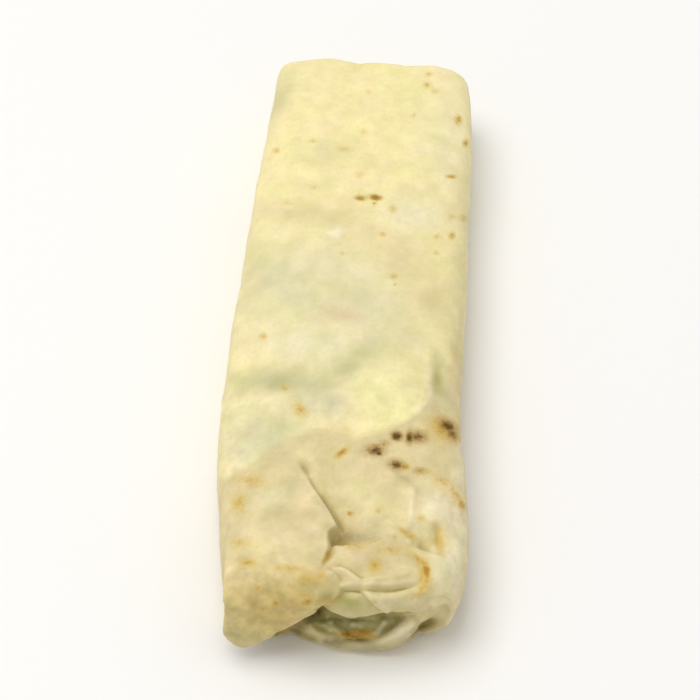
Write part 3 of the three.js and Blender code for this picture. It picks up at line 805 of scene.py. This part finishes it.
# shares of painted shade in the recess and in the hollows, and of painted highlight on the ridges
RECESS_SHADE_SHARE, CREASE_SHADE_SHARE, RIDGE_HIGHLIGHT_SHARE = 0.85, 0.8, 0.35  # of the recess, the hollows and the ridges
flap_edge_y = through([*FLAP_EDGE[:2:-1], (13, -20.8), (15, -14), (22, -6)])


def mixed(colours, paint, share):
    """Colours with a share of paint mixed in."""
    return colours + np.clip(share, 0.0, 1.0)[:, None] * (np.array(paint) - colours)


def patched(colours, patches, where=1.0):
    """Colours with soft, cloudy patches of paint on the side that the chart shows."""
    cloudy = chart.seen * (0.65 + 0.7 * cloud) * where
    for paint, *patch in patches:
        colours = mixed(colours, paint, chart.lump(*patch) * cloudy)
    return colours


points = positions_of(dough)
outward = normals_of(dough)
chart = chart_of_view(dough)
cloud = np.clip(0.5 + 0.5 * uneven(points + 200.0, 7.0), 0.0, 1.0)
tint = np.tile(np.array(CREAM), (len(points), 1))
tint = mixed(tint, MIST, 0.5 * (1 - chart.seen) * cloud)
tint = patched(tint, TINTS)
blur = EDGE_BLUR + HIDDEN_BLUR * (1.0 - chart.seen)
on_flap = ease(blur, -blur, chart.y - flap_edge_y(chart.x) + 1.6 * (cloud - 0.5))
tint = mixed(tint, STRAW, on_flap)
tint = patched(tint, FLAP_TINTS)
# the recess gets the inner layers' colour darkened as painted shade, and then its own patches
set_back = between_folds(points[:, 0], points[:, 2]) * ease(-20.0, -17.5, points[:, 0])
set_back *= ease(-66.0, -64.0, points[:, 1]) * ease(-55.0, -58.0, points[:, 1])
behind_lip = 1.0 - ease(-63.6, -65.2, points[:, 1]) * ease(-1.5, -3.0, points[:, 0])
tint = patched(mixed(tint, INNER_IN_SHADE, RECESS_SHADE_SHARE * set_back), RECESS_TINTS, behind_lip)
light_and_dark = uneven(points - 300.0, 3.4, 3)
warm_and_green = uneven(points + 400.0, 5.0)
on_lip = ease(-58.0, -63.0, chart.y) * ease(-1.0, -5.0, chart.x)
light_and_dark += 0.7 * on_lip * uneven(points + 700.0, 1.4)
mottling = (0.6 + 0.5 * ease(10.0, -40.0, points[:, 1]) + 0.25 * on_lip)[:, None]
tint *= 1.0 + mottling * np.outer(light_and_dark, MOTTLED) + np.outer(warm_and_green, BLUSHED)
hollow = ((averaged(dough, points, 6) - averaged(dough, points, 1)) * outward).sum(axis=1)
# painted shade in the hollows and a painted milky highlight on the ridges
tint = mixed(tint, CREASE_SHADE, CREASE_SHADE_SHARE * ease(0.05, 0.25, hollow))
tint = mixed(tint, MILK_AND_HIGHLIGHT, RIDGE_HIGHLIGHT_SHARE * ease(0.06, 0.25, -hollow))
print("the creases are up to", np.round(hollow.max(), 2), "mm deep")

# %% [markdown]
# The pan leaves two kinds of marks: orange-brown toasted spots, and darker charred ones where the sheet lay
# flat on the iron. Each point of the dough keeps how deep it lies inside such a mark: 1 in its middle, 0 at
# its edge and less outside. The material cuts the marks out of these values with its own noise, so their
# edges are ragged at any distance. Some toasted lines follow the creases, where a fold touched the pan. The
# marks on the top are listed one by one, and those on the hidden sides are scattered by a seeded rule.

# %% Place the toasted and charred marks
TOASTED = [  # x, y, strength, half width, half length and turn
    (-1.2, -33, 1, 0.9, 2.2, -40), (1, -47.6, 0.9, 0.8, 0.8), (6.4, -59.6, 0.6, 1.1, 1.6),
    (-11.9, -70, 0.9, 0.6, 0.8), (10.9, -35.3, 0.9, 1.1, 0.9, -15), (14, -36.1, 0.6, 0.9, 0.6),
    (-5.9, -69.2, 0.8, 1.4, 0.9, 30), (-18.2, -41.4, 0.5, 2.2, 1.4), (-20.2, -46.8, 0.5, 1.3, 2.2),
    (-17.6, -61, 0.6, 1.5, 1), (-13.1, -18, 0.6, 0.8, 0.8), (-9.8, -23.2, 0.6, 1.3, 2, 20),
    (17.9, -25.6, 0.5, 3.3, 2.4, -50), (-18, -5.4, 0.6, 0.8, 0.8), (-0.6, 32.2, 1.3, 1, 0.8),
    (2.4, 32.6, 1.9, 1.3, 0.9), (2.2, 31.1, 0.7, 0.6, 0.6), (18.3, 55.2, 0.8, 0.9, 1.5),
    (20, 49, 0.8, 0.7, 1.3), (17.4, 39.7, 0.9, 1.2, 0.7), (18.1, 24, 0.7, 0.7, 1.1),
    (4.2, 23.1, 0.7, 0.8, 0.7), (6.9, 12.3, 0.7, 0.8, 0.7), (7.3, 10.2, 0.5, 0.4, 0.4),
    (17.8, 29, 0.4, 0.6, 0.6), (11.6, 64.2, 0.5, 0.8, 0.8), (13.3, 62.7, 0.4, 0.6, 0.6),
    (11.8, 67.2, 0.4, 0.7, 0.7), (16.1, -60, 1.3, 1, 2.2, 10), (14.4, -57.4, 0.7, 0.7, 1.6, 35),
    (11.4, -51, 0.6, 0.9, 0.6, -30), (12.9, -52, 0.5, 0.8, 0.5), (9.7, -52.4, 0.5, 0.6, 0.5),
    (6.3, -46.4, 0.5, 0.6, 0.6), (14.6, -47.6, 0.4, 0.8, 0.8), (-19.5, -56.6, 0.35, 1.6, 1),
    (4.6, -75.6, 1.3, 2.6, 1.1, 5), (2.8, -76.2, 1.9, 2.8, 0.8), (6.6, -68, 0.5, 0.6, 0.6),
    (-1.8, -68.6, 0.5, 1.6, 0.7, 40), (-6.2, -63.8, 0.4, 1.4, 0.9), (9.2, -55.6, 0.3, 2.6, 1),
    (22.2, -43.6, 0.8, 0.9, 1.6, 20), (-3.8, -63, 0.5, 1.2, 0.8, 40), (-14.2, -71.4, 0.6, 0.5, 0.5),
    (-6.6, -67.6, 0.6, 0.6, 0.5), (-9.6, -65.6, 0.5, 0.5, 0.4), (-15.4, -66.8, 0.4, 0.5, 0.6),
    (-0.8, 50, 0.35, 0.6, 0.7), (-4.4, 45, 0.3, 0.9, 0.6), (-10.9, 46.7, 0.3, 0.7, 0.5),
    (-18.2, 43.4, 0.5, 0.8, 0.7), (9.2, 55.5, 0.4, 0.5, 0.6), (-0.2, 61.2, 0.3, 0.5, 0.5),
    (-1.1, 38.4, 0.3, 0.7, 0.6), (-10.1, 34.3, 0.3, 0.6, 0.5), (-3.6, 17.4, 0.6, 0.6, 0.5),
    (6, 29.9, 0.45, 0.8, 0.8), (15.1, 23.4, 0.35, 0.7, 0.6), (20.2, 28.9, 0.4, 0.7, 0.8),
    (15.2, 19.2, 0.4, 0.5, 0.5), (11.4, 70.4, 0.4, 0.8, 0.6), (-15.4, 29.4, 0.3, 0.6, 0.5),
]
CHARRED = [
    (9.2, -28, 1.1, 1.35, 1.3), (11.7, -28.1, 0.85, 1, 1.7), (13.2, -27.8, 0.65, 1.7, 1.4),
    (5.2, -31.8, 0.75, 1.9, 1.5, 10), (5.8, -32.5, 0.9, 0.9, 0.8), (6.8, -30.2, 0.3, 0.9, 0.6, 30),
    (9.4, -35, 0.75, 1.6, 1.3, -15), (3.4, -76.3, 0.3, 2.6, 0.6, 4), (14, -36.1, 0.3, 0.8, 0.5),
    (18.9, -24.6, 0.85, 2.2, 1.4, -45), (19.9, -26.6, 0.6, 1.8, 1, -58), (2.4, 32.8, 0.5, 1.2, 0.6, -8),
    (-0.7, 32.3, 0.35, 0.8, 0.5),
]
SPOTS, APART = 75, 6.5  # of those on the hidden sides
TOASTED_LINES = [  # stations, half width, strength
    ([(13.2, -55.6), (15.4, -58.2), (16.3, -61), (15.5, -64.5), (13, -67.2)], 0.9, 0.5),
    ([(17.8, -49.4), (18.2, -52.2), (18.8, -55.2)], 0.8, 0.15),
    ([(15.5, -36.2), (19.3, -39), (21.8, -42.4), (23, -45)], 1.2, 0.25),
    ([(-2.6, -56.8), (-3.3, -59.8)], 0.5, 0.45),
    ([(-13.5, -62.2), (-9.5, -61.5), (-6.5, -62)], 0.6, 0.3),
    ([(0, -55.2), (2, -55.8), (4, -55.2), (6, -54)], 0.5, 0.25),
]


def inside_marks(marks, lines=()):
    """How deep each point lies in a mark: its strength in the middle, 0 at its edge, down to -1 outside."""
    depth = np.full(len(chart.x), -1.0)
    for x, y, strength, *shape in marks:
        away = np.hypot(*chart.from_middle(x, y, *shape))
        depth = np.maximum(depth, strength * (1.0 - away))
    for stations, wide, strength in lines:
        near, offset, share = chart.beside(stations, 3.0 * wide)
        broken = 0.25 * uneven(points[near] + 600.0, 1.8)
        line_depth = strength * (fading(share, (0.3, 0.3)) - np.abs(offset) / wide) + broken
        depth[near] = np.maximum(depth[near], line_depth)
    return np.where(chart.seen > 0.1, np.maximum(depth, -1.0), -1.0)


def scattered_marks(count, apart):
    """Toasted spots of mixed sizes over the sides and the underside, which the chart doesn't show."""
    chance = np.random.default_rng(7)
    depth = np.full(len(points), -1.0)
    spots = []
    for place in points[chance.permutation(np.nonzero(chart.seen < 0.05)[0])]:
        if len(spots) < count and all(np.linalg.norm(place - spot) > apart for spot in spots):
            spots.append(place)
            away = np.linalg.norm(points - place, axis=1) / chance.uniform(0.5, 1.7)
            depth = np.maximum(depth, chance.uniform(0.3, 1.0) * (1.0 - away))
    return np.where(chart.seen < 0.1, np.maximum(depth, -1.0), -1.0)


toasted = np.maximum(inside_marks(TOASTED, TOASTED_LINES), scattered_marks(SPOTS, APART))
charred = inside_marks(CHARRED)
print(int((toasted > 0).sum()), "points are toasted and", int((charred > 0).sum()), "are charred")

# %% [markdown]
# The tint and the marks are written on the dough, one value for each point, where the material can read
# them.

# %% Write the tint and the marks on the dough
painted = dough.attributes.new("tint", "FLOAT_COLOR", "POINT")
painted.data.foreach_set("color", np.hstack([tint, np.ones((len(tint), 1))]).astype(np.float32).ravel())
for name, values in (("toasted", toasted), ("charred", charred)):
    dough.attributes.new(name, "FLOAT", "POINT").data.foreach_set("value", values.astype(np.float32))
print("attributes:", [attribute.name for attribute in dough.attributes if not attribute.name.startswith(".")])

# %% [markdown]
# Toasted and charred marks look alike except for their colour and size, so one node group cuts out both. It
# takes the depth from the attribute, adds noise to it and puts out a mask. Its inputs say how ragged the
# mark is and between which depths it fades in, so the same group also makes the paler halo round each mark.
# A second group makes the fine grain of the dough, which the colour, the gloss and the bump share.

# %% Node groups for the marks and the grain
def new_group(name, numbers, outputs):
    """A node group that takes a place and some numbers, and gives its parts to build it with."""
    group = bpy.data.node_groups.new(name, "ShaderNodeTree")
    group.interface.new_socket("Place", in_out="INPUT", socket_type="NodeSocketVector")
    for socket, value in numbers.items():
        entry = group.interface.new_socket(socket, in_out="INPUT", socket_type="NodeSocketFloat")
        entry.default_value = value
    for socket in outputs:
        group.interface.new_socket(socket, in_out="OUTPUT", socket_type="NodeSocketFloat")
    return group, group.nodes.new("NodeGroupInput"), group.nodes.new("NodeGroupOutput")


def feed(tree, socket, value):
    """Gives a socket what another socket puts out, a colour or a number."""
    if isinstance(value, bpy.types.NodeSocket):
        tree.links.new(value, socket)
    elif isinstance(value, tuple):
        socket.default_value = (*value, 1.0)[:len(socket.default_value)]
    else:
        socket.default_value = value


def node(tree, kind, inputs, **settings):
    """Adds a shader node, feeds its inputs and gives back its outputs."""
    made = tree.nodes.new("ShaderNode" + kind)
    for name, setting in settings.items():
        setattr(made, name, setting)
    for socket, value in inputs.items():
        feed(tree, made.inputs[socket], value)
    return made.outputs


def noise_node(tree, place, scale, detail, roughness=0.55):
    inputs = {"Vector": place, "Scale": scale, "Detail": detail, "Roughness": roughness}
    return node(tree, "TexNoise", inputs)["Fac"]


def math_node(tree, operation, *values):
    return node(tree, "Math", dict(enumerate(values)), operation=operation)["Value"]


def range_node(tree, value, low, high, to_low=0.0, to_high=1.0):
    inputs = {"Value": value, "From Min": low, "From Max": high, "To Min": to_low, "To Max": to_high}
    return node(tree, "MapRange", inputs, interpolation_type="SMOOTHSTEP")["Result"]


def mix_node(tree, share, below, above):
    return node(tree, "Mix", {"Factor": share, "A": below, "B": above}, data_type="RGBA")["Result"]


mark_numbers = {"Depth": 0.0, "Raggedness": 1.0, "Low": 0.0, "High": 1.0}
marks, given, result = new_group("pan mark", mark_numbers, ["Mask"])
speckle = math_node(marks, "SUBTRACT", noise_node(marks, given.outputs["Place"], 1.5, 4.0, 0.65), 0.5)
ragged = math_node(marks, "MULTIPLY_ADD", speckle, given.outputs["Raggedness"], given.outputs["Depth"])
mask = range_node(marks, ragged, given.outputs["Low"], given.outputs["High"])
marks.links.new(mask, result.inputs["Mask"])

GRAIN_NOISES = {"Clouds": (0.22, 2.0), "Grain": (1.1, 5.0), "Fleck": (0.5, 3.0)}  # scale and detail
grain, given, result = new_group("bread grain", {}, GRAIN_NOISES)
for name, (scale, detail) in GRAIN_NOISES.items():
    grain.links.new(noise_node(grain, given.outputs["Place"], scale, detail), result.inputs[name])
print("groups:", marks.name, "and", grain.name)

# %% [markdown]
# The bread itself is one Principled shader. Its colour starts from the tint of each point. Soft clouds and
# fine grain vary it, dry flour leaves paler flecks, and the marks lie over it: first the toasted ones in
# orange brown, then the charred ones in nearly black brown. A little light passes into the crumb, which
# keeps shadows in the folds soft and warm. The grain also makes the surface slightly rough and gives it a
# low bump.

# %% Make the bread
FLOUR = (0.88, 0.82, 0.56)
DEEPER = (0.68, 0.55, 0.235)
SHADED = (0.55, 0.45, 0.18)
GOLDEN = (0.64, 0.43, 0.07)
TOAST = (0.45, 0.225, 0.02)
SINGED = (0.42, 0.235, 0.03)
CHAR = (0.105, 0.055, 0.018)
VARIED = [  # noise, from where to where it fades in, strength and colour
    ("Clouds", 0.45, 0.80, 0.25, DEEPER),
    ("Fleck", 0.60, 0.76, 0.28, FLOUR),
    ("Grain", 0.42, 0.76, 0.15, SHADED),
]
MARKED = [  # attribute, raggedness, from where to where it fades in, strength and colour
    ("toasted", 0.9, -0.45, 0.6, 0.7, GOLDEN),
    ("toasted", 1.4, 0.1, 1.0, 0.9, TOAST),
    ("charred", 0.7, -0.6, 0.4, 0.7, SINGED),
    ("charred", 1.0, 0.0, 0.75, 0.97, CHAR),
]

bread = bpy.data.materials.new("flatbread")
bread.use_nodes = True
tree = bread.node_tree
in_metres = node(tree, "TexCoord", {})["Object"]
place = node(tree, "VectorMath", {0: in_metres, "Scale": 1.0 / MM}, operation="SCALE")["Vector"]
grains = node(tree, "Group", {"Place": place}, node_tree=grain)
colour = node(tree, "Attribute", {}, attribute_name="tint")["Color"]
for name, low, high, strength, paint in VARIED:
    colour = mix_node(tree, range_node(tree, grains[name], low, high, 0.0, strength), colour, paint)
for name, raggedness, low, high, strength, paint in MARKED:
    depth = node(tree, "Attribute", {}, attribute_name=name)["Fac"]
    inputs = {"Place": place, "Depth": depth, "Raggedness": raggedness, "Low": low, "High": high}
    mask = node(tree, "Group", inputs, node_tree=marks)["Mask"]
    colour = mix_node(tree, math_node(tree, "MULTIPLY", mask, strength), colour, paint)
burnt = mask  # the last mark is the charred core, which is also duller and sunk
raised = math_node(tree, "MULTIPLY_ADD", grains["Fleck"], 1.5, grains["Grain"])
raised = math_node(tree, "MULTIPLY_ADD", burnt, -0.5, raised)
low_bump = {"Strength": 0.35, "Distance": 0.25 * MM, "Height": raised}
looks = {
    "Base Color": colour,
    "Roughness": range_node(tree, grains["Grain"], 0.3, 0.7, 0.50, 0.68),
    "Specular IOR Level": range_node(tree, burnt, 0.0, 1.0, 0.32, 0.08),
    "Subsurface Weight": 0.15,
    "Subsurface Radius": (1.0, 0.7, 0.35),
    "Subsurface Scale": 1.2 * MM,
    "Normal": node(tree, "Bump", low_bump)["Normal"],
}
for name, value in looks.items():
    feed(tree, tree.nodes["Principled BSDF"].inputs[name], value)
dough.materials.clear()
dough.materials.append(bread)
print("the bread has", len(tree.nodes), "nodes")

# %% [markdown]
# The roll goes to its place: the middle of its box meets the middle of the solid's box, and it stands on
# the floor. It then rides on the only body there is and takes the place of the plain solid.

# %% Put the roll in its place
points = positions_of(dough)
low, high = points.min(axis=0), points.max(axis=0)
fit = np.minimum(1.0, np.array(roll_high - roll_low) / MM / (high - low))
middle = np.array([(low[0] + high[0]) / 2, (low[1] + high[1]) / 2, low[2]])
target = np.array([(roll_low.x + roll_high.x) / 2, (roll_low.y + roll_high.y) / 2, roll_low.z])
move_points(dough, (points - middle) * fit * MM + target)
cheese_roll = add_object("cheese_roll_dough", dough)
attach(cheese_roll, "root")
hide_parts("cheese_roll")
dough.calc_loop_triangles()
print("the roll measures", np.round(high - low, 1), "mm, and its middle was at", np.round(middle, 2))
print("it is shrunk to", np.round(fit, 4), "of that")
print("it has", len(dough.loop_triangles), "triangles")
